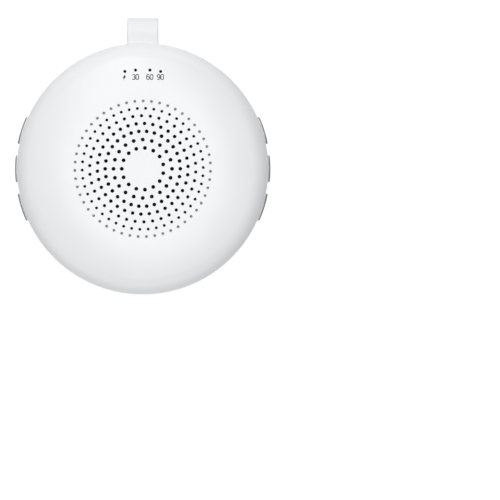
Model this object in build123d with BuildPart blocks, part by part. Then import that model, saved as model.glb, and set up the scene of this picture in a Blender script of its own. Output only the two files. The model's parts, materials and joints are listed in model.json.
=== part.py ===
from build123d import *

import os
from math import cos, radians, sin, sqrt

os.makedirs("parts", exist_ok=True)

# Portable white noise sound machine, in millimetres.
# It lies on its back: +Z comes out of the speaker face, +Y points to the hanger loop, the side
# buttons are at +X and -X, and z = 0 is the surface it rests on.

# ---------------------------------------------------------------- driving dimensions
# Housing: a round disc whose face is flat in the middle and falls gently to the shoulder
rim_radius = 51.0
face_height = 40.0
field_radius = 29.5  # flat field that holds the grille
face_drop = 2.4  # fall of the face from the flat field to the rim
shoulder_radius = 7.7
back_corner_radius = 12.0
back_height = 1.0  # the flat back, above the surface the foot pad stands on
wall = 2.2

# Joint lines: rear shell, milky light ring, front shell
ring_foot = 6.5
ring_top = 12.0
ring_thickness = 4.1
seam_edge = 0.3  # small bevel along each joint line
tongue_height = 1.2
tongue_thickness = 1.9
fit_gap = 0.1  # between pieces that plug into each other

# Screwed bosses that close the housing
boss_inset = 9.0  # from the rim
boss_count = 4
boss_start = 45.0
boss_radius = 2.8
boss_web = 1.2
tower_radius = 3.5
head_seat = 8.0
screw_radius = 1.15
screw_head_radius = 2.1
screw_head_height = 1.5
screw_length = 13.0
head_well_gap = 0.3
thread_gap = 0.05

# Speaker grille: ring radius, holes in the ring, angle of its first hole, hole radius
grille_rings = (
    (8.49, 15, 12.0, 0.66),
    (11.84, 20, 0.0, 0.66),
    (15.23, 30, 0.0, 0.65),
    (18.38, 34, 3.0, 0.61),
    (21.51, 38, 6.0, 0.56),
    (24.54, 46, 1.2, 0.48),
)
dimple_ring = (27.50, 51, 4.9, 0.48)  # blind, over the speaker's seat
dimple_depth = 0.7
hole_sides = 6  # each round hole is drawn as the hexagon round it

# Indicator lights above the grille
indicator_inset = 10.9  # from the rim
indicator_angles = (-10.4, -4.15, 4.15, 10.4)  # from +Y
indicator_hole_radius = 0.62
pipe_gap = 0.08
pipe_recess = 0.5
pipe_plate_width = 19.0
pipe_plate_depth = 3.6
pipe_plate_thickness = 1.2
indicator_board_width = 30.0
indicator_board_depth = 6.0
indicator_board_thickness = 1.0
indicator_post_offset = 12.5
indicator_post_radius = 1.8
stake_radius = 0.9
stake_proud = 0.6
indicator_led_size = (1.6, 0.8, 0.7)
indicator_light_gap = 0.3

# Side buttons: three capsules on each side, pressed along X
button_z = 21.0
button_pitch = 15.6
button_width = 11.0
button_height = 7.5
button_proud = 0.9
button_gap = 0.2  # round the cap, in its window
button_edge = 0.35
button_travel = 0.5
lip_width = 1.0
lip_gap = 0.25
lip_thickness = 1.2
stem_size = 2.8
stem_gap = 0.05

# Side boards and their switches
side_board_inset = 12.0  # of the outward face, from the rim
side_board_thickness = 1.0
side_board_margin = 0.2  # beyond the outer switches, up to the guides
side_board_height = 9.6
guide_size = 4.0
guide_grip = 1.2
header_length = 12.7
header_depth = 2.5
header_height = 2.5
switch_size = 5.0
switch_height = 2.2
plunger_size = 2.2
plunger_proud = 0.9
plunger_length = 1.9
plunger_gap = 0.08

# Hanger loop: a strap bent over a round eye, locked behind the wall
loop_drop = 14.8  # of the eye's axis, below the face
loop_width = 12.7
loop_wall = 1.5
loop_eye_radius = 4.5
loop_height = 10.2  # above the rim
loop_edge = 0.5
loop_blend = 1.0  # flare of the strap where it meets the rim
loop_gap = 0.1
anchor_depth = 7.5  # inward from the rim
anchor_margin = 1.5
anchor_thickness = 1.5

# Foot pad
foot_radius = 20.0
foot_recess = 0.8
foot_edge = 0.4
foot_grooves = (8.0, 12.0, 16.0)  # radius of each
foot_groove_width = 0.8
foot_groove_depth = 0.35

# Speaker, hung from the front shell
mesh_thickness = 0.25
collar_thickness = 1.2
gasket_thickness = 2.0
gasket_inner_radius = 24.7
frame_radius = 27.8
sheet = 0.8
basket_rim_radius = 23.4
ledge_outer_radius = 17.0
ledge_inner_radius = 14.6
ledge_depth = 8.0  # below the frame's flange
floor_depth = 9.4
floor_hole_radius = 10.0
basket_window_count = 4
basket_window_radius = 20.3
basket_window_width = 2.8
basket_window_length = 17.0
surround_radius = 24.5
surround_height = 1.6
surround_thickness = 0.35
cone_radius = 19.0
cone_depth = 6.2
cone_thickness = 0.45
dust_cap_radius = 9.4
dust_cap_height = 2.4
coil_radius = 8.4
coil_thickness = 0.8
coil_length = 7.4
spider_thickness = 0.3
spider_gap = 0.05  # round the voice coil
yoke_radius = 11.6
yoke_bore_radius = 8.9
yoke_height = 5.8
yoke_floor = 1.4
magnet_radius = 7.0
pole_radius = 7.3
pole_thickness = 2.0

# Ring with three ears that clamps the speaker, on bosses of the front shell
clamp_circle = 31.6
clamp_count = 3
clamp_start = 30.0
clamp_inner_radius = 25.6
clamp_thickness = 1.5
clamp_boss_radius = 2.3
clamp_screw_radius = 0.95
clamp_head_radius = 1.7
clamp_head_height = 1.0
clamp_screw_length = 3.8

# Main board, held between the rear shell's towers and the front shell's bosses
board_foot = 13.4
board_thickness = 1.6
board_inset = 5.5  # from the rim
board_tab_width = 14.0
night_led_count = 12
night_led_size = (1.6, 3.0, 2.2)
night_led_edge = 0.2
# controller, amplifier, memory and charger: place on the board, and side
chips = ((20.0, 8.0, 7.0), (-20.0, 9.0, 5.0), (16.0, -14.0, 5.3), (-8.0, -24.0, 4.0))
chip_height = 1.2

# USB-C socket, at the bottom of the rim
usb_width = 8.94
usb_height = 3.26
usb_length = 7.35
usb_shell = 0.3
usb_depth = 6.2
usb_tongue_width = 6.69
usb_tongue_thickness = 0.7
usb_tongue_length = 4.9
usb_recess = 0.4
usb_gap = 0.15

# Battery pouch, taped to the back
battery_length = 50.0
battery_width = 34.0
battery_thickness = 6.0
battery_corner = 2.5
tape_thickness = 0.5
tape_margin = 5.0
fence_thickness = 1.2
fence_height = 3.0
fence_gap = 0.3
fence_corner = 9.0

# Leads: thin wire pairs of the speaker and the battery, and the indicator board's flat cable
lead_radius = 0.45
lead_pitch = 1.5
lead_bend = 3.5
connector_width = 5.0
connector_depth = 3.0
connector_height = 2.0
speaker_lead_angle = 225.0
speaker_lead_reach = 9.0  # outward from the terminals to the connector
terminal_height = 1.6
battery_lead_reach = 5.5
ribbon_width = 6.0
ribbon_thickness = 0.3
ribbon_bow = 1.6

# ---------------------------------------------------------------- places worked out from these
cavity_radius = rim_radius - wall
ring_inner_radius = rim_radius - ring_thickness
boss_circle = rim_radius - boss_inset
indicator_circle = rim_radius - indicator_inset
side_board_face = rim_radius - side_board_inset
side_board_length = 2 * (button_pitch + switch_size / 2 + side_board_margin + guide_grip)
board_radius = rim_radius - board_inset
loop_z = face_height - loop_drop
anchor_start = rim_radius - anchor_depth
collar_radius = frame_radius + 2 * fit_gap + collar_thickness
dome_radius = ((rim_radius - field_radius) ** 2 + face_drop**2) / (2 * face_drop)
floor_z = back_height + wall
board_top = board_foot + board_thickness
ceiling_z = face_height - wall
flange_z = ceiling_z - mesh_thickness - gasket_thickness  # top of the speaker's flange
clamp_z = flange_z - sheet
indicator_points = [
    (indicator_circle * sin(radians(a)), indicator_circle * cos(radians(a)))
    for a in indicator_angles
]
button_steps = (("upper", 1), ("middle", 0), ("lower", -1))
sides = (("right", 1), ("left", -1))


def face_z(radius):
    """Height of the face at a distance from the axis."""
    out = max(radius - field_radius, 0)
    return face_height - dome_radius + sqrt(dome_radius**2 - out**2)


def housing_ceiling(radius):
    """Height of the shell's inner face, between its flat middle and its bevelled shoulder."""
    edge = rim_radius - wall
    fall = (face_height - face_z(edge)) / (edge - field_radius)
    return ceiling_z - fall * max(radius - field_radius, 0)


def polar_points(radius, count, start):
    """Points evenly spaced on a circle about the axis."""
    angles = [radians(start + 360 * i / count) for i in range(count)]
    return [(radius * cos(a), radius * sin(a)) for a in angles]


def side_plane(side, distance):
    """Plane that faces outward at one side, at the buttons' height; its x runs along +Y."""
    return Plane(origin=(side * distance, 0, button_z), x_dir=(0, 1, 0), z_dir=(side, 0, 0))


def keep(piece, name):
    """Label a finished piece and write its STEP file."""
    piece.part.label = name
    export_step(piece.part, f"parts/{name}.step")


def housing_form(inset):
    """Solid form of the housing, drawn in by inset; inside, its round corners are bevels."""
    edge = rim_radius - inset
    edge_z = face_z(edge) - inset
    field = (field_radius, face_height - inset)
    with BuildPart() as form:
        with BuildSketch(Plane.XZ) as section:
            with BuildLine():
                back = Line((0, back_height + inset), (edge, back_height + inset))
                side = Line(back @ 1, (edge, edge_z))
                if inset:
                    Line(side @ 1, field)
                else:
                    TangentArc(field, side @ 1, tangent=(1, 0))
                Polyline(field, (0, face_height - inset), back @ 0)
            make_face()
            back_corner = section.vertices().group_by(Axis.X)[-1].sort_by(Axis.Y)[0]
            if inset:
                chamfer(back_corner, (back_corner_radius - inset) * (2 - sqrt(2)))
                shoulder = section.vertices().group_by(Axis.X)[-1].sort_by(Axis.Y)[-1]
                chamfer(shoulder, (shoulder_radius - inset) * (2 - sqrt(2)))
            else:
                fillet(back_corner, back_corner_radius)
                shoulder = section.vertices().group_by(Axis.X)[-1].sort_by(Axis.Y)[-1]
                fillet(shoulder, shoulder_radius)
        revolve(axis=Axis.Z)
    return form.part


def screw_group(plane, points, head_radius, head_height, shank_radius, length):
    """Pan-head screws whose heads sit on a plane and whose shanks run along its normal."""
    with BuildPart() as screws:
        with BuildSketch(plane):
            with Locations(*points):
                Circle(head_radius)
        extrude(amount=-head_height)
        with BuildSketch(plane):
            with Locations(*points):
                Circle(shank_radius)
        extrude(amount=length)
    return screws


outer_form = housing_form(0)
cavity_form = housing_form(wall)
rib_form = housing_form(wall / 2)  # ribs and bosses end inside the wall
anchor_outer_form = housing_form(wall + loop_gap)
anchor_inner_form = housing_form(wall + loop_gap + anchor_thickness)
boss_points = polar_points(boss_circle, boss_count, boss_start)
clamp_points = polar_points(clamp_circle, clamp_count, clamp_start)
pipe_plate_y = indicator_circle * cos(radians(indicator_angles[0] / 2))
pipe_plate_top = housing_ceiling(pipe_plate_y + pipe_plate_depth / 2) - fit_gap
indicator_board_top = pipe_plate_top - pipe_plate_thickness - indicator_light_gap - indicator_led_size[2]
indicator_post_points = [(-indicator_post_offset, pipe_plate_y), (indicator_post_offset, pipe_plate_y)]

# ---------------------------------------------------------------- front shell
guide_x = side_board_face - side_board_thickness / 2
guide_y = side_board_length / 2 - guide_grip + guide_size / 2
guide_foot = button_z - side_board_height / 2
usb_z = board_top + usb_height / 2

with BuildPart() as front_bosses:
    # closing bosses, down to the main board
    with BuildSketch(Plane.XY.offset(board_top)):
        with Locations(*boss_points):
            Circle(boss_radius)
    extrude(amount=face_height - board_top)
    # webs that tie the bosses to the wall, above the light ring's tongue
    web_length = cavity_radius - boss_circle + wall
    with BuildSketch(Plane.XY.offset(board_top)):
        with PolarLocations(boss_circle + web_length / 2, boss_count, start_angle=boss_start):
            Rectangle(web_length, boss_web)
    extrude(amount=face_height)
    # collar that centres the speaker
    with BuildSketch(Plane.XY.offset(clamp_z)):
        Circle(collar_radius)
        Circle(collar_radius - collar_thickness, mode=Mode.SUBTRACT)
    extrude(amount=face_height - clamp_z)
    # bosses of the speaker's clamp ring
    with BuildSketch(Plane.XY.offset(clamp_z)):
        with Locations(*clamp_points):
            Circle(clamp_boss_radius)
    extrude(amount=face_height - clamp_z)
    # posts of the indicator board, with the stakes that it is pushed on to
    with BuildSketch(Plane.XY.offset(indicator_board_top)):
        with Locations(*indicator_post_points):
            Circle(indicator_post_radius)
    extrude(amount=face_height - indicator_board_top)
    with BuildSketch(Plane.XY.offset(indicator_board_top)):
        with Locations(*indicator_post_points):
            Circle(stake_radius)
    extrude(amount=-indicator_board_thickness - stake_proud)
    # guides that grip the ends of the side boards
    with BuildSketch(Plane.XY.offset(guide_foot)):
        with GridLocations(2 * guide_x, 2 * guide_y, 2, 2):
            Rectangle(guide_size, guide_size)
    extrude(amount=face_height - guide_foot)
    add(rib_form, mode=Mode.INTERSECT)

with BuildPart() as front_shell:
    add(outer_form)
    split(bisect_by=Plane.XY.offset(ring_top), keep=Keep.TOP)
    chamfer(front_shell.faces().sort_by(Axis.Z)[0].edges(), seam_edge)
    add(cavity_form, mode=Mode.SUBTRACT)
    add(front_bosses.part)
    # pilot holes of the bosses
    with BuildSketch(Plane.XY.offset(board_top)):
        with Locations(*boss_points):
            Circle(screw_radius + thread_gap)
    extrude(amount=head_seat + screw_length - board_top + fit_gap, mode=Mode.SUBTRACT)
    with BuildSketch(Plane.XY.offset(clamp_z)):
        with Locations(*clamp_points):
            Circle(clamp_screw_radius + thread_gap)
    extrude(amount=clamp_screw_length - clamp_thickness + fit_gap, mode=Mode.SUBTRACT)
    # grille: rings of through holes, and one ring of blind dimples
    with BuildSketch(Plane.XY.offset(face_height)):
        for ring_radius, count, start, hole_radius in grille_rings:
            with PolarLocations(ring_radius, count, start_angle=start):
                RegularPolygon(hole_radius, hole_sides, major_radius=False)
    extrude(amount=-wall, mode=Mode.SUBTRACT)
    ring_radius, count, start, hole_radius = dimple_ring
    with BuildSketch(Plane.XY.offset(face_height)):
        with PolarLocations(ring_radius, count, start_angle=start):
            RegularPolygon(hole_radius, hole_sides, major_radius=False)
    extrude(amount=-dimple_depth, mode=Mode.SUBTRACT)
    # indicator holes
    with BuildSketch(Plane.XY.offset(indicator_board_top)):
        with Locations(*indicator_points):
            Circle(indicator_hole_radius)
    extrude(amount=face_height, mode=Mode.SUBTRACT)
    # slots for the side boards, and button windows
    for _, side in sides:
        with BuildSketch(side_plane(side, side_board_face - side_board_thickness - fit_gap)):
            Rectangle(side_board_length + 2 * fit_gap, side_board_height + 2 * fit_gap)
        extrude(amount=side_board_thickness + 2 * fit_gap, mode=Mode.SUBTRACT)
        with BuildSketch(side_plane(side, side_board_face + guide_size)):
            with GridLocations(button_pitch, 0, 3, 1):
                SlotOverall(button_width + 2 * button_gap, button_height + 2 * button_gap)
        extrude(amount=rim_radius, mode=Mode.SUBTRACT)
    # window of the hanger loop
    loop_depth = 2 * (loop_eye_radius + loop_wall)
    loop_plane = Plane(origin=(0, 0, loop_z), x_dir=(1, 0, 0), z_dir=(0, 1, 0))
    with BuildSketch(loop_plane.offset(anchor_start)):
        Rectangle(loop_width + 2 * loop_gap, loop_depth + 2 * loop_gap)
    extrude(amount=rim_radius, mode=Mode.SUBTRACT)
    # opening of the USB-C socket
    usb_plane = Plane(origin=(0, 0, usb_z), x_dir=(1, 0, 0), z_dir=(0, -1, 0))
    with BuildSketch(usb_plane.offset(cavity_radius - wall)):
        SlotOverall(usb_width + 2 * usb_gap, usb_height + 2 * usb_gap)
    extrude(amount=rim_radius, mode=Mode.SUBTRACT)
keep(front_shell, "front_shell")

# ---------------------------------------------------------------- light ring of the night light
with BuildPart() as light_ring:
    add(outer_form)
    split(bisect_by=Plane.XY.offset(ring_foot), keep=Keep.TOP)
    split(bisect_by=Plane.XY.offset(ring_top), keep=Keep.BOTTOM)
    chamfer(light_ring.faces().filter_by(Axis.Z).edges(), seam_edge)
    with BuildSketch(Plane.XY.offset(ring_top)):
        Circle(cavity_radius - fit_gap)
    extrude(amount=tongue_height)
    with BuildSketch(Plane.XY.offset(ring_foot)):
        Circle(ring_inner_radius)
    extrude(amount=face_height, mode=Mode.SUBTRACT)
keep(light_ring, "light_ring")

# ---------------------------------------------------------------- rear shell
rear_tongue_radius = ring_inner_radius - fit_gap
fence_length = battery_length + 2 * (fence_gap + fence_thickness)
fence_width = battery_width + 2 * (fence_gap + fence_thickness)

with BuildPart() as rear_bosses:
    # screw towers that carry the main board
    with BuildSketch(Plane.XY.offset(back_height)):
        with Locations(*boss_points):
            Circle(tower_radius)
    extrude(amount=board_foot - back_height)
    # corner fences round the battery
    with BuildSketch(Plane.XY.offset(back_height)):
        Rectangle(fence_length, fence_width)
        Rectangle(fence_length - 2 * fence_thickness, fence_width - 2 * fence_thickness, mode=Mode.SUBTRACT)
        Rectangle(fence_length, fence_width - 2 * fence_corner, mode=Mode.SUBTRACT)
        Rectangle(fence_length - 2 * fence_corner, fence_width, mode=Mode.SUBTRACT)
    extrude(amount=floor_z - back_height + fence_height)
    add(rib_form, mode=Mode.INTERSECT)

with BuildPart() as rear_shell:
    add(outer_form)
    split(bisect_by=Plane.XY.offset(ring_foot), keep=Keep.BOTTOM)
    chamfer(rear_shell.faces().sort_by(Axis.Z)[-1].edges(), seam_edge)
    add(cavity_form, mode=Mode.SUBTRACT)
    # tongue that centres the light ring
    with BuildSketch(Plane.XY.offset(ring_foot - tongue_height)):
        Circle(rear_tongue_radius)
        Circle(rear_tongue_radius - tongue_thickness, mode=Mode.SUBTRACT)
    extrude(amount=2 * tongue_height)
    add(rear_bosses.part)
    # recess of the foot pad
    with BuildSketch(Plane.XY.offset(back_height)):
        Circle(foot_radius + fit_gap)
    extrude(amount=foot_recess, mode=Mode.SUBTRACT)
    # wells of the closing screws, and their clearance holes
    with BuildSketch(Plane.XY):
        with Locations(*boss_points):
            Circle(screw_head_radius + head_well_gap)
    extrude(amount=head_seat, mode=Mode.SUBTRACT)
    with BuildSketch(Plane.XY):
        with Locations(*boss_points):
            Circle(screw_radius + 2 * thread_gap)
    extrude(amount=board_foot, mode=Mode.SUBTRACT)
keep(rear_shell, "rear_shell")

with BuildPart() as foot_pad:
    with BuildSketch():
        Circle(foot_radius)
    extrude(amount=back_height + foot_recess)
    chamfer(foot_pad.edges().group_by(Axis.Z)[0], foot_edge)
    # grip grooves
    with BuildSketch():
        for groove_radius in foot_grooves:
            Circle(groove_radius + foot_groove_width / 2)
            Circle(groove_radius - foot_groove_width / 2, mode=Mode.SUBTRACT)
    extrude(amount=foot_groove_depth, mode=Mode.SUBTRACT)
keep(foot_pad, "foot_pad")

shell_screws = screw_group(
    Plane.XY.offset(head_seat),
    boss_points,
    screw_head_radius,
    screw_head_height,
    screw_radius,
    screw_length,
)
keep(shell_screws, "shell_screws")

# ---------------------------------------------------------------- hanger loop
eye_y = rim_radius + loop_height - loop_eye_radius - loop_wall
leg_length = eye_y - anchor_start
leg_center = (eye_y + anchor_start) / 2
with BuildPart() as loop_strap:
    # side view: a strap bent round the eye
    with BuildSketch(Plane.YZ):
        with Locations((eye_y, loop_z)):
            Circle(loop_eye_radius + loop_wall)
        with Locations((leg_center, loop_z)):
            Rectangle(leg_length, loop_depth)
        with Locations((eye_y, loop_z)):
            Circle(loop_eye_radius, mode=Mode.SUBTRACT)
        with Locations((leg_center, loop_z)):
            Rectangle(leg_length, 2 * loop_eye_radius, mode=Mode.SUBTRACT)
    extrude(amount=loop_width / 2 + 2 * loop_blend, both=True)
    # front view: straight sides that flare into the rim
    with BuildSketch() as front_view:
        Circle(rim_radius)
        with Locations((0, rim_radius)):
            Rectangle(loop_width, 2 * loop_height)
        fillet(front_view.vertices().group_by(Axis.Y)[-2], loop_blend)
    extrude(amount=face_height, mode=Mode.INTERSECT)
    side_faces = loop_strap.faces().filter_by(Axis.X).group_by(SortBy.AREA)[-1]
    fillet(side_faces.edges().filter_by(Axis.Z, reverse=True), loop_edge)
    add(outer_form, mode=Mode.SUBTRACT)

with BuildPart() as hanger_loop:
    # anchor flange, against the inside of the wall
    with BuildSketch(loop_plane.offset(anchor_start)):
        Rectangle(loop_width + 2 * anchor_margin, loop_depth + 2 * anchor_margin)
    extrude(amount=rim_radius)
    add(anchor_outer_form, mode=Mode.INTERSECT)
    # plug that fills the window
    with BuildSketch(loop_plane.offset(anchor_start)):
        Rectangle(loop_width, loop_depth)
    extrude(amount=rim_radius)
    add(outer_form, mode=Mode.INTERSECT)
    add(anchor_inner_form, mode=Mode.SUBTRACT)
    add(loop_strap.part)
keep(hanger_loop, "hanger_loop")

# ---------------------------------------------------------------- side buttons, switches, boards
for side_name, side in sides:
    for place, step in button_steps:
        cap_place = (step * button_pitch, 0)
        with BuildPart() as button:
            # retaining lip, behind the wall
            with BuildSketch(side_plane(side, 0)):
                with Locations(cap_place):
                    Rectangle(button_width + 2 * lip_width, button_height + 2 * lip_width)
            extrude(amount=rim_radius)
            Cylinder(cavity_radius - lip_gap, 4 * face_height, mode=Mode.INTERSECT)
            # cap, proud of the rim
            with BuildSketch(side_plane(side, 0)):
                with Locations(cap_place):
                    SlotOverall(button_width, button_height)
            extrude(amount=2 * rim_radius)
            Cylinder(rim_radius + button_proud, 4 * face_height, mode=Mode.INTERSECT)
            Cylinder(cavity_radius - lip_gap - lip_thickness, 4 * face_height, mode=Mode.SUBTRACT)
            cap_face = button.faces().sort_by(Axis.X)[-1 if side > 0 else 0]
            chamfer(cap_face.edges(), button_edge)
            # stem that reaches in to the switch
            stem_start = side_board_face + switch_height + plunger_proud + stem_gap
            with BuildSketch(side_plane(side, stem_start)):
                with Locations(cap_place):
                    Rectangle(stem_size, stem_size)
            cap_x = sqrt((cavity_radius - lip_gap) ** 2 - (step * button_pitch) ** 2)
            extrude(amount=cap_x - stem_start)
        keep(button, f"button_{side_name}_{place}")

        plunger_start = side_board_face + switch_height + plunger_proud - plunger_length
        with BuildPart() as plunger:
            with BuildSketch(side_plane(side, plunger_start)):
                with Locations(cap_place):
                    Rectangle(plunger_size, plunger_size)
            extrude(amount=plunger_length)
        keep(plunger, f"plunger_{side_name}_{place}")

    with BuildPart() as side_board:
        with BuildSketch(side_plane(side, side_board_face)):
            Rectangle(side_board_length, side_board_height)
        extrude(amount=-side_board_thickness)
    keep(side_board, f"side_board_{side_name}")

    with BuildPart() as switches:
        with BuildSketch(side_plane(side, side_board_face)):
            with GridLocations(button_pitch, 0, 3, 1):
                Rectangle(switch_size, switch_size)
        extrude(amount=switch_height)
        with BuildSketch(side_plane(side, side_board_face + switch_height)):
            with GridLocations(button_pitch, 0, 3, 1):
                Rectangle(plunger_size + 2 * plunger_gap, plunger_size + 2 * plunger_gap)
        extrude(amount=-(plunger_length - plunger_proud + button_travel + stem_gap), mode=Mode.SUBTRACT)
    keep(switches, f"switches_{side_name}")

    # pin header that joins the side board to the main board
    with BuildPart() as side_header:
        with BuildSketch(Plane.XY.offset(board_top)):
            with Locations((side * (side_board_face - side_board_thickness - header_depth / 2), 0)):
                Rectangle(header_depth, header_length)
        extrude(amount=header_height)
    keep(side_header, f"side_header_{side_name}")

# ---------------------------------------------------------------- speaker
with BuildPart() as dust_mesh:
    with BuildSketch(Plane.XY.offset(ceiling_z)):
        Circle(frame_radius)
    extrude(amount=-mesh_thickness)
keep(dust_mesh, "dust_mesh")

with BuildPart() as speaker_gasket:
    with BuildSketch(Plane.XY.offset(flange_z)):
        Circle(frame_radius)
        Circle(gasket_inner_radius, mode=Mode.SUBTRACT)
    extrude(amount=gasket_thickness)
keep(speaker_gasket, "speaker_gasket")

ledge_z = flange_z - ledge_depth
basket_floor_z = flange_z - floor_depth
with BuildPart() as speaker_frame:
    with BuildSketch(Plane.XZ):
        with BuildLine():
            Polyline(
                (frame_radius, flange_z),
                (basket_rim_radius, flange_z),
                (ledge_outer_radius, ledge_z),
                (ledge_inner_radius, basket_floor_z),
                (floor_hole_radius, basket_floor_z),
                (floor_hole_radius, basket_floor_z - sheet),
                (ledge_outer_radius, basket_floor_z - sheet),
                (basket_rim_radius + sheet, flange_z - sheet),
                (frame_radius, flange_z - sheet),
                close=True,
            )
        make_face()
    revolve(axis=Axis.Z)
    # windows in its side
    with BuildSketch(Plane.XY.offset(ledge_z + sheet)):
        with PolarLocations(basket_window_radius, basket_window_count):
            Rectangle(basket_window_width, basket_window_length)
    extrude(amount=ledge_depth - 3 * sheet, mode=Mode.SUBTRACT)
keep(speaker_frame, "speaker_frame")

with BuildPart() as speaker_surround:
    with BuildSketch(Plane.XZ):
        pleat_radius = (surround_radius + cone_radius) / 2 - surround_thickness
        with BuildLine():
            Polyline(
                (surround_radius, flange_z),
                (surround_radius, flange_z + surround_thickness),
                (pleat_radius, flange_z + surround_height),
                (cone_radius - sheet, flange_z + surround_thickness),
                (cone_radius - sheet, flange_z),
                (pleat_radius, flange_z + surround_height - surround_thickness),
                close=True,
            )
        make_face()
    revolve(axis=Axis.Z)
keep(speaker_surround, "speaker_surround")

cone_neck_z = flange_z - cone_depth
with BuildPart() as speaker_cone:
    with BuildSketch(Plane.XZ):
        with BuildLine():
            Polyline(
                (cone_radius, flange_z),
                (cone_radius - sheet, flange_z),
                (coil_radius - coil_thickness, cone_neck_z + cone_thickness),
                (coil_radius - coil_thickness, cone_neck_z),
                (coil_radius, cone_neck_z),
                close=True,
            )
        make_face()
    revolve(axis=Axis.Z)
keep(speaker_cone, "speaker_cone")

cone_slope = (cone_depth - cone_thickness) / (cone_radius - sheet - coil_radius + coil_thickness)
cap_z = cone_neck_z + cone_thickness + (dust_cap_radius - coil_radius + coil_thickness) * cone_slope
cap_curve = (dust_cap_radius**2 + dust_cap_height**2) / (2 * dust_cap_height)
with BuildPart() as dust_cap:
    with BuildSketch(Plane.XZ):
        with BuildLine():
            rim = Line((0, cap_z), (dust_cap_radius, cap_z))
            top = RadiusArc(rim @ 1, (0, cap_z + dust_cap_height), -cap_curve)
            Line(top @ 1, rim @ 0)
        make_face()
    revolve(axis=Axis.Z)
keep(dust_cap, "dust_cap")

with BuildPart() as voice_coil:
    with BuildSketch(Plane.XY.offset(cone_neck_z)):
        Circle(coil_radius)
        Circle(coil_radius - coil_thickness, mode=Mode.SUBTRACT)
    extrude(amount=-coil_length)
keep(voice_coil, "voice_coil")

with BuildPart() as speaker_spider:
    with BuildSketch(Plane.XY.offset(ledge_z)):
        Circle(ledge_outer_radius)
        Circle(coil_radius + spider_gap, mode=Mode.SUBTRACT)
    extrude(amount=spider_thickness)
keep(speaker_spider, "speaker_spider")

yoke_top = basket_floor_z - sheet
yoke_foot = yoke_top - yoke_height
with BuildPart() as speaker_yoke:
    with BuildSketch(Plane.XY.offset(yoke_foot)):
        Circle(yoke_radius)
    extrude(amount=yoke_height)
    with BuildSketch(Plane.XY.offset(yoke_foot + yoke_floor)):
        Circle(yoke_bore_radius)
    extrude(amount=yoke_height, mode=Mode.SUBTRACT)
keep(speaker_yoke, "speaker_yoke")

with BuildPart() as speaker_magnet:
    with BuildSketch(Plane.XY.offset(yoke_foot + yoke_floor)):
        Circle(magnet_radius)
    extrude(amount=yoke_height - yoke_floor - pole_thickness)
keep(speaker_magnet, "speaker_magnet")

with BuildPart() as pole_plate:
    with BuildSketch(Plane.XY.offset(yoke_top)):
        Circle(pole_radius)
    extrude(amount=-pole_thickness)
keep(pole_plate, "pole_plate")

ear_length = clamp_circle - clamp_inner_radius
with BuildPart() as speaker_clamp:
    with BuildSketch(Plane.XY.offset(clamp_z)):
        Circle(collar_radius)
        with PolarLocations(clamp_circle - ear_length / 2, clamp_count, start_angle=clamp_start):
            Rectangle(ear_length, 2 * clamp_boss_radius)
        with Locations(*clamp_points):
            Circle(clamp_boss_radius)
        Circle(clamp_inner_radius, mode=Mode.SUBTRACT)
        with Locations(*clamp_points):
            Circle(clamp_screw_radius + 2 * thread_gap, mode=Mode.SUBTRACT)
    extrude(amount=-clamp_thickness)
keep(speaker_clamp, "speaker_clamp")

clamp_screws = screw_group(
    Plane.XY.offset(clamp_z - clamp_thickness),
    clamp_points,
    clamp_head_radius,
    clamp_head_height,
    clamp_screw_radius,
    clamp_screw_length,
)
keep(clamp_screws, "clamp_screws")

# ---------------------------------------------------------------- indicator lights
with BuildPart() as indicator_board:
    with BuildSketch(Plane.XY.offset(indicator_board_top)):
        with Locations((0, pipe_plate_y)):
            Rectangle(indicator_board_width, indicator_board_depth)
        with Locations(*indicator_post_points):
            Circle(stake_radius + fit_gap, mode=Mode.SUBTRACT)
    extrude(amount=-indicator_board_thickness)
keep(indicator_board, "indicator_board")

with BuildPart() as indicator_leds:
    with BuildSketch(Plane.XY.offset(indicator_board_top)):
        with Locations(*indicator_points):
            Rectangle(indicator_led_size[0], indicator_led_size[1])
    extrude(amount=indicator_led_size[2])
keep(indicator_leds, "indicator_leds")

with BuildPart() as light_pipe:
    with BuildSketch(Plane.XY.offset(pipe_plate_top)):
        with Locations((0, pipe_plate_y)):
            Rectangle(pipe_plate_width, pipe_plate_depth)
    extrude(amount=-pipe_plate_thickness)
    with BuildSketch(Plane.XY.offset(pipe_plate_top)):
        with Locations(*indicator_points):
            Circle(indicator_hole_radius - pipe_gap)
    extrude(amount=face_z(indicator_circle) - pipe_recess - pipe_plate_top)
keep(light_pipe, "light_pipe")

# ---------------------------------------------------------------- main board and what is on it
with BuildPart() as main_board:
    with BuildSketch(Plane.XY.offset(board_foot)):
        Circle(board_radius)
        with Locations((0, -board_radius)):
            Rectangle(board_tab_width, 2 * (cavity_radius - board_radius - 5 * fit_gap))
        with Locations(*boss_points):
            Circle(screw_radius + 2 * thread_gap, mode=Mode.SUBTRACT)
    extrude(amount=board_thickness)
keep(main_board, "main_board")

with BuildPart() as night_leds:
    with BuildSketch(Plane.XY.offset(board_foot)):
        led_circle = board_radius - night_led_edge - night_led_size[0] / 2
        with PolarLocations(led_circle, night_led_count):
            Rectangle(night_led_size[0], night_led_size[1])
    extrude(amount=-night_led_size[2])
keep(night_leds, "night_leds")

with BuildPart() as board_chips:
    with BuildSketch(Plane.XY.offset(board_top)):
        for chip_x, chip_y, chip_side in chips:
            with Locations((chip_x, chip_y)):
                Rectangle(chip_side, chip_side)
    extrude(amount=chip_height)
keep(board_chips, "board_chips")

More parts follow.
